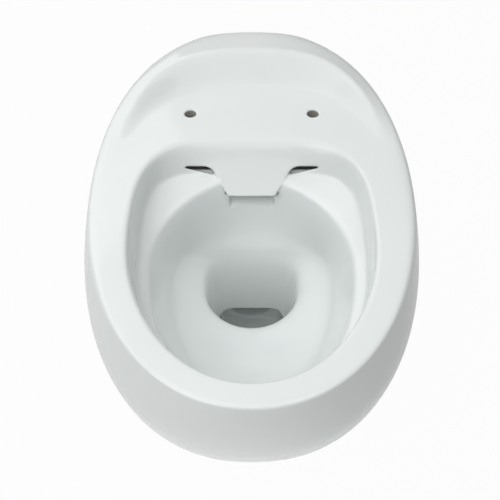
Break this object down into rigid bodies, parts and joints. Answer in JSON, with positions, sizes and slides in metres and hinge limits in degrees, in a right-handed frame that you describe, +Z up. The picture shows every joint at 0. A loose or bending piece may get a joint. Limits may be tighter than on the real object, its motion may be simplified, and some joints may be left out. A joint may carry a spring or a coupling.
{
  "type": "wall hung toilet",
  "caption": "Oval rimless wall hung toilet pan of white vitreous china with raised rear collar, bare seat holes, deep sump and trapway, on a concealed side clamped wall fixing.",
  "frame": {"origin": "on the wall plane, half way between the two wall studs", "axes": "+Y out of the back into the wall, -Y to the front of the pan, +Z up, +X to the right seen from the front"},
  "size_m": [0.392, 0.6658, 0.3878],
  "materials": {
    "vitreous_china": "white glaze",
    "mat_foam": "closed cell foam",
    "zinc_steel": "zinc plated",
    "screw_steel": "stainless",
    "wedge_zinc": "die cast zinc",
    "grey_plastic": "moulded",
    "white_plastic": "extruded",
    "black_plastic": "extruded",
    "cap_plastic": "moulded, white",
    "seal_rubber": "soft"
  },
  "bodies": {
    "pan": {"pan": "vitreous_china", "wall_mat": "mat_foam", "wall_studs": "zinc_steel", "stud_washers": "zinc_steel", "stud_nuts": "zinc_steel", "hanger_bracket_left": "zinc_steel", "hanger_bracket_right": "zinc_steel", "bracket_shoe_left": "grey_plastic", "bracket_shoe_right": "grey_plastic", "clamp_bush_left": "grey_plastic", "clamp_bush_right": "grey_plastic", "flush_pipe": "white_plastic", "flush_seal": "seal_rubber", "waste_connector": "black_plastic", "waste_seal": "seal_rubber"},
    "screw_left": {"clamp_screw_left": "screw_steel", "screw_clip_left": "screw_steel"},
    "wedge_left": {"clamp_wedge_left": "wedge_zinc"},
    "cap_left": {"cover_cap_left": "cap_plastic"},
    "screw_right": {"clamp_screw_right": "screw_steel", "screw_clip_right": "screw_steel"},
    "wedge_right": {"clamp_wedge_right": "wedge_zinc"},
    "cap_right": {"cover_cap_right": "cap_plastic"}
  },
  "joints": [
    {"name": "screw_turn_left", "type": "hinge", "parent": "pan", "child": "screw_left", "pos_m": [-0.14, -0.056, 0.028], "axis": [-1, 0, 0], "range_deg": [0, 1440]},
    {"name": "wedge_slide_left", "type": "slide", "parent": "pan", "child": "wedge_left", "axis": [1, 0, 0], "range_m": [0, 0.005]},
    {"name": "cap_pull_left", "type": "slide", "parent": "pan", "child": "cap_left", "axis": [-1, 0, 0], "range_m": [0, 0.03]},
    {"name": "screw_turn_right", "type": "hinge", "parent": "pan", "child": "screw_right", "pos_m": [0.14, -0.056, 0.028], "axis": [1, 0, 0], "range_deg": [0, 1440]},
    {"name": "wedge_slide_right", "type": "slide", "parent": "pan", "child": "wedge_right", "axis": [-1, 0, 0], "range_m": [0, 0.005]},
    {"name": "cap_pull_right", "type": "slide", "parent": "pan", "child": "cap_right", "axis": [1, 0, 0], "range_m": [0, 0.03]}
  ],
  "couplings": [
    {"joint": "wedge_slide_left", "follows": "screw_turn_left", "m_per_rad": 0.00019894},
    {"joint": "wedge_slide_right", "follows": "screw_turn_right", "m_per_rad": 0.00019894}
  ]
}
